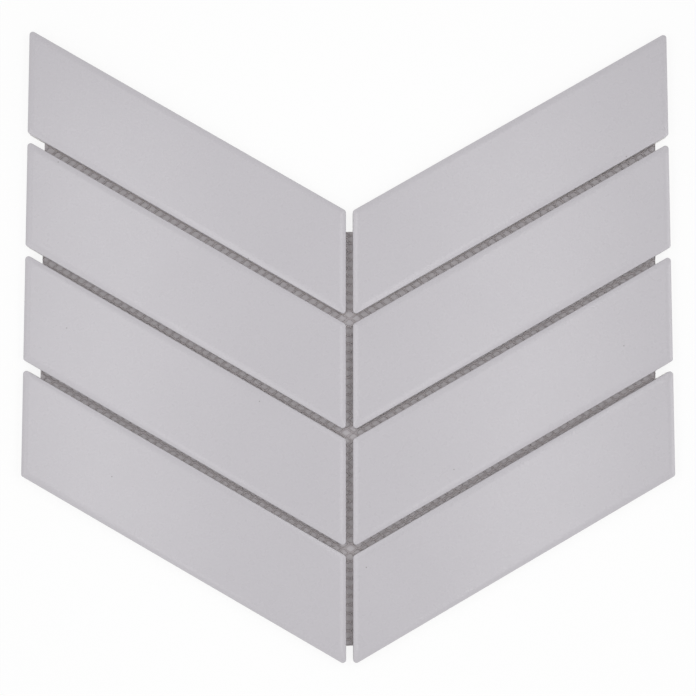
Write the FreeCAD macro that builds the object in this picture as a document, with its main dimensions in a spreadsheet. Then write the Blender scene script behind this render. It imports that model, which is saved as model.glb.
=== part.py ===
import FreeCAD, Part
import math
import os
import Sketcher

# A chevron mosaic sheet: two mirrored columns of pressed porcelain tiles, glued side by side
# on one cut of fine net, with open joints left between them for grout.
# Millimetres. +Z is the glazed side, +Y the open end of the chevron, and the origin is the
# middle of the sheet's underside.

doc = FreeCAD.newDocument("chevron_sheet")
sheet = doc.addObject("Spreadsheet::Sheet", "Sizes")

sizes = [
    ("row_count", 4),  # tiles in each column
    ("chevron_angle", 30),  # rise of the long edges above level, degrees
    ("tile_width", 148.4),  # level distance between a tile's upright edges
    ("tile_side", 49.25),  # length of an upright edge, before its corners are rounded
    ("tile_thickness", 6),
    ("corner_radius", 1.5),  # upright corners, seen from above
    ("cushion_width", 3),  # how far the face's rolled rim reaches in from the outline
    ("cushion_depth", 0.7),  # how far the rim has sunk where it meets the wall
    ("edge_radius", 0.5),  # arris between the rim and the wall
    ("centre_joint", 3.2),  # between the two columns
    ("row_joint", 3.4),  # between rows, square to the long edges
    ("key_depth", 0.4),  # grooves pressed into the tile's back
    ("key_width", 4),  # groove width along an upright edge
    ("key_land", 4.5),  # rib left between two grooves, along an upright edge
    ("key_border", 5),  # plain border kept around the grooves
    ("net_thickness", 0.6),
    ("net_inset", 7.5),  # net edge inside the tiles' long edges, square to them
    ("net_side_inset", 7),  # net edge inside the outer upright edges
    ("net_drop", 1),  # net laid this much low on the tiles
    ("net_flat", 5.4),  # level cuts at the net's notch and point
]
for line, (alias, number) in enumerate(sizes, start=1):
    sheet.set(f"A{line}", alias)
    sheet.set(f"B{line}", str(number))
    sheet.setAlias(f"B{line}", alias)
doc.recompute()

# Lengths that follow from the sizes, as expressions on the sheet.
angle = "(Sizes.chevron_angle * 1 deg)"
rise = f"(Sizes.tile_width * tan({angle}))"
row_gap = f"(Sizes.row_joint / cos({angle}))"
row_pitch = f"(Sizes.tile_side + {row_gap})"
column_height = f"(Sizes.row_count * {row_pitch} - {row_gap})"

wall_height = "(Sizes.tile_thickness - Sizes.cushion_depth)"
roll_radius = "((Sizes.cushion_width ^ 2 + Sizes.cushion_depth ^ 2) / (2 * Sizes.cushion_depth))"
roll_steps = 3  # outlines that the rolled rim is lofted through, above the first

key_pitch = "(Sizes.key_width + Sizes.key_land)"
key_room = "(Sizes.tile_side - 2 * Sizes.key_border + Sizes.key_land)"
key_count = f"floor({key_room} / {key_pitch})"
key_span = f"({key_count} * {key_pitch} - Sizes.key_land)"

net_width = "(2 * (Sizes.tile_width - Sizes.net_side_inset) + Sizes.centre_joint)"
net_edge = f"(Sizes.net_inset / cos({angle}))"
net_point = f"((Sizes.net_flat - Sizes.centre_joint) / 2 * tan({angle}) + {net_edge} - Sizes.net_drop)"
net_depth = f"({column_height} - 2 * {net_edge})"
net_rise = f"(({net_width} - Sizes.net_flat) / 2 * tan({angle}))"

ORIGIN = (-1, 1)  # a sketch's own origin, as a constraint names it


def value(expression):
    """Present value of an expression on the sheet, as a plain number."""
    result = sheet.evalExpression(expression)
    return float(getattr(result, "Value", result))


def new_sketch(body, name, height=None):
    """Empty sketch on the body's XY plane, or at a height above it."""
    sketch = body.newObject("Sketcher::SketchObject", name)
    planes = [plane for plane in body.Origin.OriginFeatures if plane.Role == "XY_Plane"]
    sketch.AttachmentSupport = [(planes[0], "")]
    sketch.MapMode = "FlatFace"
    if height:
        sketch.setExpression("AttachmentOffset.Base.z", height)
    return sketch


def draw_loop(sketch, points):
    """Closed loop of straight lines through the points; line number i starts at point i."""
    corners = [FreeCAD.Vector(x, y, 0) for x, y in points]
    count = len(corners)
    for i in range(count):
        sketch.addGeometry(Part.LineSegment(corners[i], corners[(i + 1) % count]))
    for i in range(count):
        sketch.addConstraint(Sketcher.Constraint("Coincident", i, 2, (i + 1) % count, 1))


def draw_round_loop(sketch, points, radius):
    """The same loop, anticlockwise, with an arc of one radius at every corner."""
    corners = [FreeCAD.Vector(x, y, 0) for x, y in points]
    count = len(corners)
    size = value(radius)
    bends = []
    for i, corner in enumerate(corners):
        back = (corners[i - 1] - corner).normalize()
        ahead = (corners[(i + 1) % count] - corner).normalize()
        half_turn = back.getAngle(ahead) / 2
        leg = size / math.tan(half_turn)
        crown = corner + (back + ahead).normalize() * (size / math.sin(half_turn) - size)
        bends.append((corner + back * leg, crown, corner + ahead * leg))
    for i in range(count):
        sketch.addGeometry(Part.LineSegment(bends[i][2], bends[(i + 1) % count][0]))
    for bend in bends:
        sketch.addGeometry(Part.Arc(*bend))
    for i in range(count):
        arc = count + i
        sketch.addConstraint(Sketcher.Constraint("Tangent", (i - 1) % count, 2, arc, 1))
        sketch.addConstraint(Sketcher.Constraint("Tangent", arc, 2, i, 1))
        if i:
            sketch.addConstraint(Sketcher.Constraint("Equal", count, arc))
    bind(sketch, "corner", "Radius", (count,), radius)


def bind(sketch, name, kind, places, expression):
    """Constraint whose measure is tied to the sheet."""
    number = sketch.addConstraint(Sketcher.Constraint(kind, *places, value(expression)))
    sketch.renameConstraint(number, name)
    sketch.setExpression(f"Constraints.{name}", expression)


def draw_slanted(sketch, hand, reach, low, high, radius=None):
    """Parallelogram with upright ends, its long edges climbing to the right where hand is 1.

    The upright edges lie the reach away from the sketch's origin on both sides. The lower long edge
    passes the low distance from it, and the upper one the high distance from the lower.
    """
    across = value(reach)
    climb = hand * across * math.tan(math.radians(value("Sizes.chevron_angle")))
    below = value(f"{low} / cos({angle})")
    tall = value(f"{high} / cos({angle})")
    points = [(across, climb - below + tall), (-across, tall - below - climb),
              (-across, -below - climb), (across, climb - below)]
    if radius:
        draw_round_loop(sketch, points, radius)
    else:
        draw_loop(sketch, points)
    upper, left, lower, right = range(4)
    sketch.addConstraint(Sketcher.Constraint("Vertical", left))
    sketch.addConstraint(Sketcher.Constraint("Vertical", right))
    sketch.addConstraint(Sketcher.Constraint("Parallel", upper, lower))
    slope = sketch.addConstraint(Sketcher.Constraint("Angle", lower, math.atan2(climb, across)))
    sketch.renameConstraint(slope, "slope")
    sketch.setExpression("Constraints.slope", f"{hand} * {angle}")
    bind(sketch, "reach_left", "Distance", (*ORIGIN, left), reach)
    bind(sketch, "reach_right", "Distance", (*ORIGIN, right), reach)
    bind(sketch, "low", "Distance", (*ORIGIN, lower), low)
    bind(sketch, "high", "Distance", (upper, 1, lower), high)


def draw_outline(sketch, hand, inset):
    """The tile's own outline with rounded corners, drawn in by the inset on every side."""
    low = f"(Sizes.tile_side * cos({angle}) / 2 - {inset})"
    reach = f"(Sizes.tile_width / 2 - {inset})"
    draw_slanted(sketch, hand, reach, low, f"(2 * {low})", "Sizes.corner_radius")


def make_tile(label, hand, row):
    """One pressed tile: an upright wall, a face with a rolled rim and a grooved back."""
    body = doc.addObject("PartDesign::Body", label)
    body.Label = label

    outline = new_sketch(body, f"{label}_outline", wall_height)
    draw_outline(outline, hand, "0")
    wall = body.newObject("PartDesign::Pad", f"{label}_wall")
    wall.Profile = outline
    wall.Reversed = True
    wall.setExpression("Length", wall_height)

    # The rim's section is an arc that ends level at the face.
    rolls = []
    for step in range(1, roll_steps + 1):
        inset = f"(Sizes.cushion_width * {step} / {roll_steps})"
        height = (f"(Sizes.tile_thickness - {roll_radius}"
                  f" + sqrt({roll_radius} ^ 2 - (Sizes.cushion_width - {inset}) ^ 2))")
        roll = new_sketch(body, f"{label}_roll_{step}", height)
        draw_outline(roll, hand, inset)
        rolls.append(roll)
    cushion = body.newObject("PartDesign::AdditiveLoft", f"{label}_cushion")
    cushion.Profile = outline
    cushion.Sections = rolls
    doc.recompute()

    arris = body.newObject("PartDesign::Fillet", f"{label}_arris")
    level = value(wall_height)
    around = [
        f"Edge{i}"
        for i, edge in enumerate(cushion.Shape.Edges, start=1)
        if all(abs(vertex.Z - level) < 1e-4 for vertex in edge.Vertexes)
    ]
    arris.Base = (cushion, around)
    arris.setExpression("Radius", "Sizes.edge_radius")
    doc.recompute()

    groove = new_sketch(body, f"{label}_groove")
    draw_slanted(groove, hand, "(Sizes.tile_width / 2 - Sizes.key_border)",
                 f"({key_span} / 2 * cos({angle}))", f"(Sizes.key_width * cos({angle}))")
    key = body.newObject("PartDesign::Pocket", f"{label}_key")
    key.Profile = groove
    key.Reversed = True
    key.setExpression("Length", "Sizes.key_depth")
    doc.recompute()
    if key.Shape.Volume >= arris.Shape.Volume:
        raise RuntimeError(f"{label}: the groove cuts nothing")

    keys = body.newObject("PartDesign::LinearPattern", f"{label}_keys")
    keys.Originals = [key]
    keys.Direction = (groove, ["V_Axis"])
    keys.setExpression("Length", f"({key_count} - 1) * {key_pitch}")
    keys.setExpression("Occurrences", key_count)
    body.Tip = keys

    body.setExpression("Placement.Base.x", f"{hand} * (Sizes.centre_joint + Sizes.tile_width) / 2")
    body.setExpression("Placement.Base.y", f"((Sizes.row_count - 1) / 2 - {row}) * {row_pitch}")
    body.setExpression("Placement.Base.z", "Sizes.net_thickness")
    return body


def make_net(label):
    """The net as one thin chevron, set in from the tiles' edges and cut level at both tips."""
    body = doc.addObject("PartDesign::Body", label)
    body.Label = label

    outline = new_sketch(body, f"{label}_outline")
    flat = value("Sizes.net_flat") / 2
    side = value(net_width) / 2
    point = value(net_point)
    notch = point + value(net_depth)
    climb = value(net_rise)
    right = [(flat, notch), (side, notch + climb), (side, point + climb), (flat, point)]
    left = [(-x, y) for x, y in reversed(right)]
    draw_loop(outline, right + left)
    for mine, other in ((0, 7), (1, 6), (2, 5), (3, 4)):
        # -2 names the sketch's upright axis, the line between the two columns.
        outline.addConstraint(Sketcher.Constraint("Symmetric", mine, 1, other, 1, -2))
    outline.addConstraint(Sketcher.Constraint("Vertical", 1))
    outline.addConstraint(Sketcher.Constraint("Vertical", 0, 1, 3, 1))
    outline.addConstraint(Sketcher.Constraint("Parallel", 0, 2))
    bind(outline, "flat", "DistanceX", (7, 1, 0, 1), "Sizes.net_flat")
    bind(outline, "width", "DistanceX", (6, 1, 1, 1), net_width)
    bind(outline, "point", "DistanceY", (*ORIGIN, 3, 1), net_point)
    bind(outline, "depth", "DistanceY", (3, 1, 0, 1), net_depth)
    bind(outline, "climb", "DistanceY", (0, 1, 1, 1), net_rise)

    cloth = body.newObject("PartDesign::Pad", f"{label}_cloth")
    cloth.Profile = outline
    cloth.setExpression("Length", "Sizes.net_thickness")
    body.Tip = cloth

    body.setExpression("Placement.Base.y", f"-({column_height} + {rise}) / 2")
    return body


pieces = []
for column, hand in (("left", -1), ("right", 1)):
    for row in range(int(value("Sizes.row_count"))):
        pieces.append(make_tile(f"tile_{column}_{row + 1}", hand, row))
pieces.append(make_net("backing_net"))
doc.recompute()

for item in doc.Objects:
    if "Invalid" in item.State or "Error" in item.State:
        raise RuntimeError(f"{item.Name} failed: {item.State}")
for piece in pieces:
    if piece.Shape.isNull() or not piece.Shape.isValid() or len(piece.Shape.Solids) != 1:
        raise RuntimeError(f"{piece.Label} is not one sound solid")

os.makedirs("parts", exist_ok=True)
for piece in pieces:
    piece.Shape.exportStep(f"parts/{piece.Label}.step")
    box = piece.Shape.BoundBox
    extent = f"{box.XLength:.2f} x {box.YLength:.2f} x {box.ZLength:.2f}"
    print(f"{piece.Label}: {piece.Shape.Volume:.1f} mm3, {extent}")
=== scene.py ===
import math

import bpy
import numpy as np
from mathutils import Matrix, Quaternion, Vector


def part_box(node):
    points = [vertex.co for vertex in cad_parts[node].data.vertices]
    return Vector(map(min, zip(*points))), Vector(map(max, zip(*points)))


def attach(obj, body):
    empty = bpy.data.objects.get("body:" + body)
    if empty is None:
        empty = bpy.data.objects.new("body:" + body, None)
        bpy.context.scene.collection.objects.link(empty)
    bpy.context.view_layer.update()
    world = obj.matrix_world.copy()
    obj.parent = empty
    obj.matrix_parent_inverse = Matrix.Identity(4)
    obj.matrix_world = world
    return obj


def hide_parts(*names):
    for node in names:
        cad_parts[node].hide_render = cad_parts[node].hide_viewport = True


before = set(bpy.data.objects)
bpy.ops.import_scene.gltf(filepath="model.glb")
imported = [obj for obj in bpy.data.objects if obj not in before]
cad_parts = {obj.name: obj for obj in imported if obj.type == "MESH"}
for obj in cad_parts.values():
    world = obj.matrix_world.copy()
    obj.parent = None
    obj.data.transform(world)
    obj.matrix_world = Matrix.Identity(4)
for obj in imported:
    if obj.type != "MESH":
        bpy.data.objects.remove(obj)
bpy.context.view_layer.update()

MM = 0.001
SLOPE = math.radians(30)  # rise of the tiles' long edges and of the net's cut
NET_FLAT = 5.4 * MM  # level cuts at the net's notch and point
SIDE_LEAN = 0.017  # the net's right-hand cut, made by eye, leans out by this share of its climb
LEAN_FROM = -14.4 * MM  # height at which that cut crosses the side of the net's plain solid
net_low, net_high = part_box("backing_net")
tile_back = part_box("tile_left_1")[0].z

# Honeycomb of the net: cells step along the right-hand joints and up the middle, a little out of
# true because the net is pulled as the tiles are laid on it. Short level bars part the cells of
# a column, and long slanted threads part the columns, as in a knitted net.
STEP_ACROSS = np.array([3.53, 1.97]) * MM
STEP_UP = np.array([0.11, 3.94]) * MM
FIRST_CELL = np.array([0.0, 9.6]) * MM
BAR = 1.0 * MM
RIGHT_PULL = 0.014  # climb of the net's right half, which is pulled along its joints
KNOT_STRAY = 0.05 * MM  # how far a knot lies from its true place
THREAD_SHARE = 0.25  # of a cell's width
THREAD_UNEVEN = 0.1  # share by which threads differ in width
SHOULDERS = (0.72, 0.28)  # heights between which a thread's side is upright, shares of its thickness


def srgb(code):
    """Linear RGBA of an sRGB hex colour."""
    parts = np.array([int(code[i:i + 2], 16) for i in (1, 3, 5)]) / 255
    linear = np.where(parts <= 0.04045, parts / 12.92, ((parts + 0.055) / 1.055) ** 2.4)
    return (*linear.tolist(), 1.0)


WHITE = srgb("#FFFFFF")


def add(tree, kind, values=None, links=None, **settings):
    """Adds a node: settings are its properties, values its inputs, links its inputs' sources."""
    node = tree.nodes.new(kind)
    for name, setting in settings.items():
        setattr(node, name, setting)
    for name, value in (values or {}).items():
        node.inputs[name].default_value = value
    for name, (source, output) in (links or {}).items():
        tree.links.new(source.outputs[output], node.inputs[name])
    return node


def new_material(name):
    """Empty node material, and its tree."""
    material = bpy.data.materials.new(name)
    material.use_nodes = True
    material.node_tree.nodes.clear()
    return material, material.node_tree


def surface(name, points, quads):
    """Mesh object from arrays of points and four-sided faces, at the origin."""
    mesh = bpy.data.meshes.new(name)
    mesh.vertices.add(len(points))
    mesh.vertices.foreach_set("co", np.ascontiguousarray(points, np.float32).ravel())
    mesh.loops.add(quads.size)
    mesh.loops.foreach_set("vertex_index", np.ascontiguousarray(quads, np.int32).ravel())
    mesh.polygons.add(len(quads))
    mesh.polygons.foreach_set("loop_start", np.arange(0, quads.size, 4, dtype=np.int32))
    mesh.polygons.foreach_set("use_smooth", np.ones(len(quads), bool))
    mesh.update(calc_edges=True)
    mesh.validate()
    piece = bpy.data.objects.new(name, mesh)
    bpy.context.scene.collection.objects.link(piece)
    return piece


def net_cut(x):
    """Lower and upper edge of the net at x: two equal V lines, level between the tips' corners."""
    climb = (np.maximum(np.abs(x), NET_FLAT / 2) - NET_FLAT / 2) * math.tan(SLOPE)
    whole = (net_high.x - NET_FLAT / 2) * math.tan(SLOPE)
    return net_low.y + climb, net_high.y - whole + climb


def net_side(y):
    """Right-hand edge of the net at y: a straight cut that leans outwards as it climbs."""
    return net_high.x + SIDE_LEAN * (y - LEAN_FROM)


def net_corners():
    """Eight corners of the net's cut, clockwise from the notch, and which of them are upper ones.

    The right-hand cut's ends are taken where its plain solid ends, which is near enough at this lean.
    """
    tip = NET_FLAT / 2
    right_low, right_high = net_side(np.array(net_cut(net_high.x)))
    x = np.array([tip, right_high, right_low, tip, -tip, net_low.x, net_low.x, -tip])
    upper = np.array([True, True, False, False, False, False, True, True])
    low, high = net_cut(x)
    return np.column_stack([x, np.where(upper, high, low)]), upper


def honeycomb_net(name):
    """Open net of coated threads, as one closed surface.

    Cell (i, j) lies at first + i*across + j*up, two steps about 60 degrees apart. Round it lie six
    corners, each in the middle of three cells, which carry the thread's crest and its underside, and
    six smaller ones for the two shoulders at the edge of the hole. Bands join crest, upper shoulder,
    lower shoulder and underside. A corner has the whole-number address 3*(i, j) + offset, so corners
    that cells share are found by address and welded. The two ends of each level bar are brought
    together until the bar has its own length, the right half climbs by the pull times x, and every
    corner strays a little. Corners past the net's cut are drawn back to it, and crest edges of one
    cell only are walled as the rim.
    """
    rng = np.random.default_rng(11)
    reach = 110  # steps each way, enough to pass the net's cut
    i, j = (grid.ravel() for grid in np.meshgrid(np.arange(-reach, reach), np.arange(-reach, reach)))
    centres = i[:, None] * STEP_ACROSS + j[:, None] * STEP_UP + FIRST_CELL
    centres[:, 1] += RIGHT_PULL * np.maximum(centres[:, 0], 0)
    x, y = centres.T
    low, high = net_cut(x)
    kept = (y > low) & (y < high) & (x > net_low.x) & (x < net_side(y))
    cells = np.stack([i, j], 1)[kept]
    count = len(cells)

    offsets = np.array([(2, -1), (1, 1), (-1, 2), (-2, 1), (-1, -1), (1, -2)])
    addresses = (3 * cells[:, None, :] + offsets).reshape(-1, 2)
    corners, crest = np.unique(addresses, axis=0, return_inverse=True)
    crest = crest.reshape(count, 6)
    total = len(corners)
    crest_xy = corners[:, :1] / 3 * STEP_ACROSS + corners[:, 1:] / 3 * STEP_UP + FIRST_CELL
    # The first number of an address, divided by 3, leaves 2 at a bar's left end and 1 at its right.
    inward = 2 * (corners[:, 0] % 3) - 3
    even_bar = STEP_ACROSS[0] * 2 / 3
    crest_xy[:, 0] += (even_bar - BAR) / 2 * inward
    crest_xy[:, 1] += RIGHT_PULL * np.maximum(crest_xy[:, 0], 0)
    crest_xy += rng.normal(0, KNOT_STRAY, crest_xy.shape)
    crest_xy[:, 0] = np.clip(crest_xy[:, 0], net_low.x, net_side(crest_xy[:, 1]))
    crest_xy[:, 1] = np.clip(crest_xy[:, 1], *net_cut(crest_xy[:, 0]))

    hole = 1 - THREAD_SHARE * rng.uniform(1 - THREAD_UNEVEN, 1 + THREAD_UNEVEN, (count, 1, 1))
    middle = crest_xy[crest].mean(1, keepdims=True)
    shoulder_xy = (middle + (crest_xy[crest] - middle) * hole).reshape(-1, 2)
    levels = net_high.z * np.array([1.0, 0.0, *SHOULDERS])
    layers = zip((crest_xy, crest_xy, shoulder_xy, shoulder_xy), levels)
    points = np.concatenate([np.column_stack([xy, np.full(len(xy), z)]) for xy, z in layers])

    under = crest + total
    upper = 2 * total + np.arange(count * 6).reshape(count, 6)
    lower = upper + count * 6
    bands = []
    for outer, inner in ((crest, upper), (upper, lower), (lower, under)):
        ring = np.stack([outer, np.roll(outer, -1, 1), np.roll(inner, -1, 1), inner], 2)
        bands.append(ring.reshape(-1, 4))
    first = crest.ravel()
    second = np.roll(crest, -1, 1).ravel()
    rim = ~np.isin(first * total + second, second * total + first)
    bands.append(np.column_stack([second, first, first + total, second + total])[rim])
    return surface(name, points, np.concatenate(bands))


def satin_porcelain():
    """Pressed porcelain under a satin grey glaze.

    The glaze flows smooth, so it gives the eye an even colour with the faintest clouding, a fine
    crystal grain, a rare pinhole and a soft, wide sheen that brightens the rolled rim. It stops
    unevenly low on the wall, where the dry, chalky body begins that also makes the back.
    """
    cloud_width = 30 * MM
    grain_width = 0.9 * MM  # crystals are near 0.1 mm, too fine to show, so they are drawn coarser
    ripple_width = 4 * MM
    pit_spacing = 80 * MM
    pit_core, pit_edge = 0.15 * MM, 0.35 * MM
    run_width, run_depth = 7 * MM, 1.6 * MM  # of the glaze's uneven lower edge
    glaze_line = tile_back + 2.0 * MM
    glaze_fade = 0.35 * MM
    ripple_height, chalk_height = 0.003, 0.05  # millimetres
    glaze_roughness = {"To Min": 0.25, "To Max": 0.31}
    clay_roughness = 0.88
    tone_range = {"From Min": 0.45, "From Max": 1.05}  # of half the clouding and all the grain
    pit_shade = {"To Min": 0.7, "To Max": 0.0}  # from a pinhole's middle to its edge

    material, tree = new_material("satin_glazed_porcelain")
    place = add(tree, "ShaderNodeTexCoord")
    spot = {"Vector": (place, "Object")}
    cloud = add(tree, "ShaderNodeTexNoise", {"Scale": 1 / cloud_width, "Detail": 2.0}, spot)
    grain = add(tree, "ShaderNodeTexNoise", {"Scale": 1 / grain_width, "Detail": 2.0}, spot)
    ripple = add(tree, "ShaderNodeTexNoise", {"Scale": 1 / ripple_width, "Detail": 1.0}, spot)

    tone = add(tree, "ShaderNodeMath", {1: 0.5}, {0: (cloud, "Fac"), 2: (grain, "Fac")},
               operation="MULTIPLY_ADD")
    shade = add(tree, "ShaderNodeMapRange", tone_range, {"Value": (tone, 0)})
    glaze = add(tree, "ShaderNodeMix", {"A": srgb("#BFBCC1"), "B": srgb("#C3C0C5")},
                {"Factor": (shade, 0)}, data_type="RGBA")
    pits = add(tree, "ShaderNodeTexVoronoi", {"Scale": 1 / pit_spacing}, spot, voronoi_dimensions="2D")
    pit = add(tree, "ShaderNodeMapRange",
              {"From Min": pit_core / pit_spacing, "From Max": pit_edge / pit_spacing, **pit_shade},
              {"Value": (pits, "Distance")})
    glazed = add(tree, "ShaderNodeMix", {"B": srgb("#6B6660")},
                 {"Factor": (pit, 0), "A": (glaze, "Result")}, data_type="RGBA")
    clay = add(tree, "ShaderNodeMix", {"A": srgb("#C9C2B6"), "B": srgb("#DCD7CD")},
               {"Factor": (grain, "Fac")}, data_type="RGBA")

    height = add(tree, "ShaderNodeSeparateXYZ", links={0: (place, "Object")})
    runs = add(tree, "ShaderNodeTexNoise", {"Scale": 1 / run_width, "Detail": 3.0}, spot)
    edge = add(tree, "ShaderNodeMath", {1: run_depth}, {0: (runs, "Fac"), 2: (height, "Z")},
               operation="MULTIPLY_ADD")
    cover = add(tree, "ShaderNodeMapRange", {"From Min": glaze_line, "From Max": glaze_line + glaze_fade},
                {"Value": (edge, 0)})

    colour = add(tree, "ShaderNodeMix", data_type="RGBA",
                 links={"Factor": (cover, 0), "A": (clay, "Result"), "B": (glazed, "Result")})
    gloss = add(tree, "ShaderNodeMapRange", glaze_roughness, {"Value": (ripple, "Fac")})
    rough = add(tree, "ShaderNodeMix", {"A": clay_roughness}, {"Factor": (cover, 0), "B": (gloss, 0)})
    skin = add(tree, "ShaderNodeMath", {1: ripple_height}, {0: (ripple, "Fac")}, operation="MULTIPLY")
    chalk = add(tree, "ShaderNodeMath", {1: chalk_height}, {0: (grain, "Fac")}, operation="MULTIPLY")
    relief = add(tree, "ShaderNodeMix", links={"Factor": (cover, 0), "A": (chalk, 0), "B": (skin, 0)})
    bump = add(tree, "ShaderNodeBump", {"Strength": 1.0, "Distance": MM}, {"Height": (relief, "Result")})
    shader = add(tree, "ShaderNodeBsdfPrincipled", {"IOR": 1.5},
                 {"Base Color": (colour, "Result"), "Roughness": (rough, "Result"),
                  "Normal": (bump, "Normal")})
    add(tree, "ShaderNodeOutputMaterial", links={"Surface": (shader, "BSDF")})
    return material


def coated_net():
    """Polyester net stiffened with resin: warm grey threads with a dull shine, paler where rubbed."""
    fibre_width = 0.5 * MM  # fibres are near 0.02 mm, too fine to show, so they are drawn coarser
    fibre_height = 0.06 * MM

    material, tree = new_material("resin_coated_net")
    place = add(tree, "ShaderNodeTexCoord")
    fibre = add(tree, "ShaderNodeTexNoise", {"Scale": 1 / fibre_width, "Detail": 3.0},
                {"Vector": (place, "Object")})
    shade = add(tree, "ShaderNodeMix", {"A": srgb("#A9A3A5"), "B": srgb("#BFB9BB")},
                {"Factor": (fibre, "Fac")}, data_type="RGBA")
    bump = add(tree, "ShaderNodeBump", {"Strength": 0.4, "Distance": fibre_height},
               {"Height": (fibre, "Fac")})
    shader = add(tree, "ShaderNodeBsdfPrincipled", {"Roughness": 0.6, "IOR": 1.5},
                 {"Base Color": (shade, "Result"), "Normal": (bump, "Normal")})
    add(tree, "ShaderNodeOutputMaterial", links={"Surface": (shader, "BSDF")})
    return material


def seen_plainly(tree):
    """One for rays that show the surroundings: from the camera, in a gloss or through glass."""
    path = add(tree, "ShaderNodeLightPath")
    mirror = add(tree, "ShaderNodeMath", links={0: (path, "Is Camera Ray"), 1: (path, "Is Glossy Ray")},
                 operation="MAXIMUM")
    return add(tree, "ShaderNodeMath", links={0: (mirror, 0), 1: (path, "Is Transmission Ray")},
               operation="MAXIMUM")


def shade_board_paint():
    """Matt grey paint of the board under the net, plain because it shows only through the cells: painted
    shade, standing in for the floor's shadow under the sheet.
    """
    material, tree = new_material("painted_shade_board")
    # painted shade: this grey stands in for the floor darkened in the sheet's shadow
    matt = add(tree, "ShaderNodeBsdfDiffuse", {"Color": srgb("#D0CCCF")})
    add(tree, "ShaderNodeOutputMaterial", links={"Surface": (matt, 0)})
    return material


def floor_paint():
    """Matt near-white paint, lifted to the white of a bright sweep and still holding some shadow."""
    white_share = 0.82
    material, tree = new_material("pale_floor_paint")
    matt = add(tree, "ShaderNodeBsdfDiffuse", {"Color": srgb("#F4F4F4")})
    glow = add(tree, "ShaderNodeEmission", {"Color": WHITE, "Strength": 1.02})
    lift = add(tree, "ShaderNodeMath", {1: white_share}, {0: (seen_plainly(tree), 0)},
               operation="MULTIPLY")
    mix = add(tree, "ShaderNodeMixShader", links={0: (lift, 0), 1: (matt, 0), 2: (glow, 0)})
    add(tree, "ShaderNodeOutputMaterial", links={"Surface": (mix, 0)})
    return material


def white_ground():
    """Floor as one flat mesh: a ring of eight faces from the net's cut outwards, and in it the board,
    whose grey paint is painted shade for the floor under the sheet.

    Each corner of the cut is joined to a far one: a tip's corner straight up or down, the others
    slantwise.
    """
    far = 40.0
    loop, upper = net_corners()
    x = loop[:, 0]
    outer = np.column_stack([np.where(np.abs(x) > NET_FLAT, np.sign(x) * far, x),
                             np.where(upper, far, -far)])
    points = np.column_stack([np.concatenate([loop, outer]), np.zeros(16)])
    inner = np.arange(8)
    after = (inner + 1) % 8
    ring = np.column_stack([inner, after, after + 8, inner + 8])
    # The board's grey paint is painted shade: it darkens the floor seen through the net's cells.
    shade_board = np.array([[3, 2, 1, 0], [7, 6, 5, 4], [4, 3, 0, 7]])
    floor = surface("floor", points, np.concatenate([ring, shade_board]))
    floor.data.materials.append(floor_paint())
    floor.data.materials.append(shade_board_paint())
    floor.data.polygons.foreach_set("material_index", [0] * len(ring) + [1] * len(shade_board))


def surroundings():
    """White world, as in a light tent: its diffuse light is a little stronger on the pointed side."""
    world = bpy.data.worlds.new("white_surroundings")
    world.use_nodes = True
    tree = world.node_tree
    tree.nodes.clear()
    ray = add(tree, "ShaderNodeTexCoord")
    side = add(tree, "ShaderNodeSeparateXYZ", links={0: (ray, "Generated")})
    fill = add(tree, "ShaderNodeMapRange", {"From Min": -1.0, "To Min": 0.85, "To Max": 0.57},
               {"Value": (side, "Y")})
    level = add(tree, "ShaderNodeMix", {"B": 1.0}, {"Factor": (seen_plainly(tree), 0), "A": (fill, 0)})
    sky = add(tree, "ShaderNodeBackground", {"Color": WHITE}, {"Strength": (level, 0)})
    add(tree, "ShaderNodeOutputWorld", links={"Surface": (sky, 0)})
    bpy.context.scene.world = world


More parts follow.
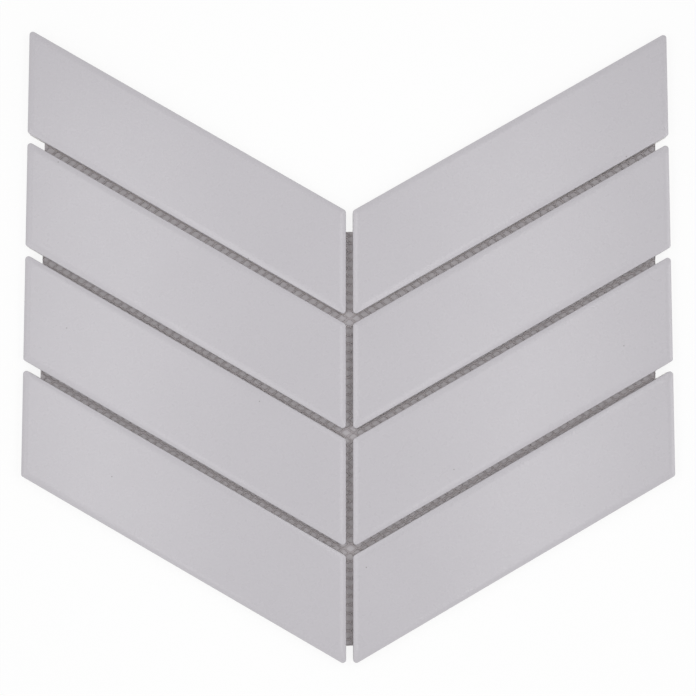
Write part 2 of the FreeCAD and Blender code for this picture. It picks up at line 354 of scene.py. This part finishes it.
def soft_boxes():
    """Long soft boxes that run from notch to point, aimed at the middle of the sheet.

    Two hang low beside the camera: they grade the faces and show as the wide sheen on the inner
    rims. Two wings further out show only in the gloss, as the thin glint on the outer rims.
    """
    length = 0.48
    # Place in metres, turn about the upright in degrees, width in metres, watts, lights the faces
    boxes = {
        "left_box": ((-0.177, -0.01, 0.45), -5, 0.1, 0.37, True),
        "right_box": ((0.15, -0.01, 0.45), 7, 0.1, 0.36, True),
        "left_wing": ((-0.459, 0.0, 0.514), 0, 0.12, 0.24, False),
        "right_wing": ((0.596, 0.0, 0.4), 0, 0.2, 0.6, False),
    }
    for name, (spot, turn, width, power, lights_faces) in boxes.items():
        lamp = bpy.data.lights.new(name, "AREA")
        lamp.shape = "RECTANGLE"
        lamp.size = length
        lamp.size_y = width
        lamp.energy = power
        box = bpy.data.objects.new(name, lamp)
        box.location = spot
        aimed = (-Vector(spot)).to_track_quat("-Z", "Y")
        box.rotation_euler = (Quaternion((0, 0, 1), math.radians(turn)) @ aimed).to_euler()
        box.visible_camera = False
        box.visible_diffuse = lights_faces
        bpy.context.scene.collection.objects.link(box)


def photo_camera():
    """Camera at the photograph's angle: nearly straight down, leaning a little from the pointed end."""
    tilt = math.radians(5.25)
    yaw = math.radians(-1.128)
    roll = math.radians(0.029)
    aim = Vector((-0.65, -2.59, 4.4)) * MM
    distance = 705.4 * MM
    frame_width = 696  # pixels
    focal_length = 1524  # pixels

    right = Vector((math.cos(yaw), 0, -math.sin(yaw)))
    up = Vector((math.sin(tilt) * math.sin(yaw), math.cos(tilt), math.sin(tilt) * math.cos(yaw)))
    back = right.cross(up)
    across = math.cos(roll) * right - math.sin(roll) * up
    upward = math.sin(roll) * right + math.cos(roll) * up
    lens = bpy.data.cameras.new("photo_camera")
    lens.sensor_width = 36.0
    lens.lens = focal_length / frame_width * lens.sensor_width
    camera = bpy.data.objects.new("photo_camera", lens)
    turn = Matrix((across, upward, back)).transposed().to_4x4()
    camera.matrix_world = Matrix.Translation(aim + back * distance) @ turn
    bpy.context.scene.collection.objects.link(camera)
    bpy.context.scene.camera = camera


porcelain = satin_porcelain()
tiles = [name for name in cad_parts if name.startswith("tile_")]
for name in tiles:
    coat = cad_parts[name].data.materials
    coat.clear()
    coat.append(porcelain)

net = honeycomb_net("honeycomb_net")
net.data.materials.append(coated_net())
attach(net, "root")
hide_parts("backing_net")

white_ground()
surroundings()
soft_boxes()
photo_camera()
bpy.context.scene.view_settings.view_transform = "Standard"
